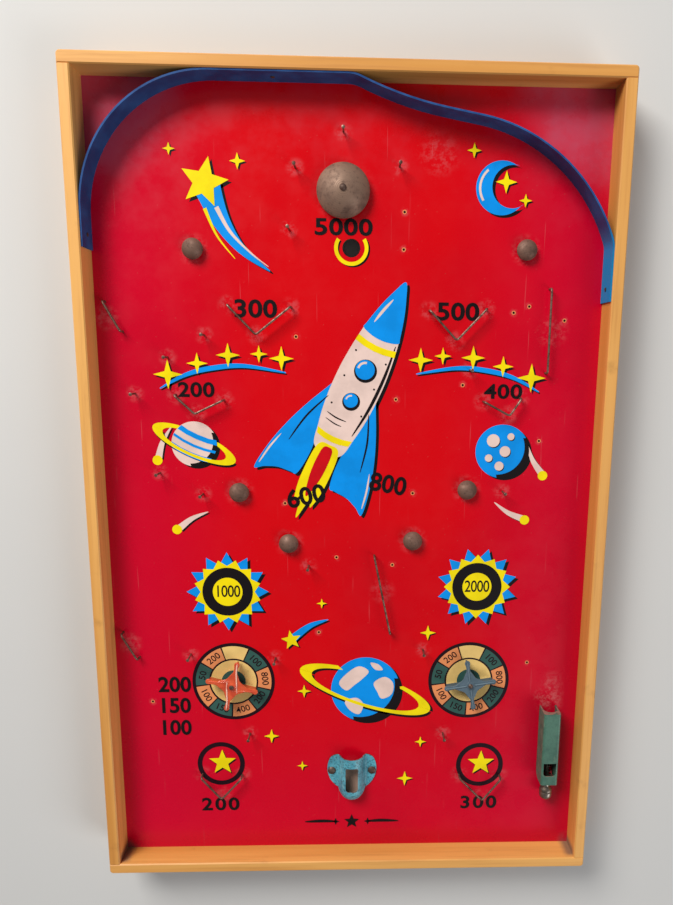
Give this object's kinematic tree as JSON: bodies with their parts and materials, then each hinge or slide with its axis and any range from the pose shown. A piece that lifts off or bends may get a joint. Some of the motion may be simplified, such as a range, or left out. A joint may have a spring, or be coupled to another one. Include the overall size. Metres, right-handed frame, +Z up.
{
  "type": "bagatelle board game",
  "caption": "Tabletop bagatelle board: shallow wooden frame, painted playing board, curved deflector, gong, studs, pins, wire pockets, vane spinners, return hood and sprung launcher.",
  "frame": {"origin": "middle of the footprint, on the surface the frame lies on", "axes": "+X to the right across the board, +Y up the board towards the deflector, +Z up"},
  "size_m": [0.375, 0.59, 0.035],
  "materials": {
    "rail_wood": "satin varnish, worn",
    "painted_board": "gloss lacquer",
    "nail_steel": "dull",
    "blue_strip": "gloss enamel, worn",
    "oxidised_metal": "oxidised",
    "bright_wire": "polished, aged",
    "orange_vane": "gloss",
    "blue_vane": "matte",
    "washer_steel": "dull",
    "turquoise_enamel": "enamel, worn",
    "green_enamel": "enamel, worn",
    "plunger_metal": "worn",
    "spring_steel": "dull"
  },
  "bodies": {
    "cabinet": {"arch_strip": "blue_strip", "centre_guide_wire": "bright_wire", "corner_nails": "nail_steel", "dome_stud_1": "oxidised_metal", "dome_stud_2": "oxidised_metal", "dome_stud_3": "oxidised_metal", "dome_stud_4": "oxidised_metal", "dome_stud_5": "oxidised_metal", "dome_stud_6": "oxidised_metal", "gong": "oxidised_metal", "gong_nail": "nail_steel", "gong_spacer": "oxidised_metal", "lane_guide_wire": "bright_wire", "launcher_housing": "green_enamel", "left_guide_wire_lower": "bright_wire", "left_guide_wire_upper": "bright_wire", "pins": "nail_steel", "playfield": "painted_board", "plunger_spring": "spring_steel", "pocket_wire_1": "bright_wire", "pocket_wire_2": "bright_wire", "pocket_wire_3": "bright_wire", "pocket_wire_4": "bright_wire", "pocket_wire_5": "bright_wire", "pocket_wire_6": "bright_wire", "rail_bottom": "rail_wood", "rail_left": "rail_wood", "rail_right": "rail_wood", "rail_top": "rail_wood", "return_hood": "turquoise_enamel", "return_hood_nails": "nail_steel", "spinner_left_pivot": "nail_steel", "spinner_left_washer": "washer_steel", "spinner_right_pivot": "nail_steel", "spinner_right_washer": "washer_steel", "strip_nails": "nail_steel"},
    "left_spinner": {"spinner_left": "orange_vane"},
    "right_spinner": {"spinner_right": "blue_vane"},
    "plunger": {"plunger_hammer": "plunger_metal", "plunger_rod": "plunger_metal", "plunger_knob": "plunger_metal"}
  },
  "joints": [
    {"name": "left_spinner_turn", "type": "hinge", "parent": "cabinet", "child": "left_spinner", "pos_m": [-0.0905, -0.1436, 0.0155], "axis": [0, 0, 1], "continuous": true},
    {"name": "right_spinner_turn", "type": "hinge", "parent": "cabinet", "child": "right_spinner", "pos_m": [0.093, -0.1436, 0.0155], "axis": [0, 0, 1], "continuous": true},
    {"name": "plunger_pull", "type": "slide", "parent": "cabinet", "child": "plunger", "axis": [0, -1, 0], "range_m": [0, 0.02], "stiffness_N_per_m": 200, "springref_m": -0.005, "deforming": ["plunger_spring"]}
  ]
}
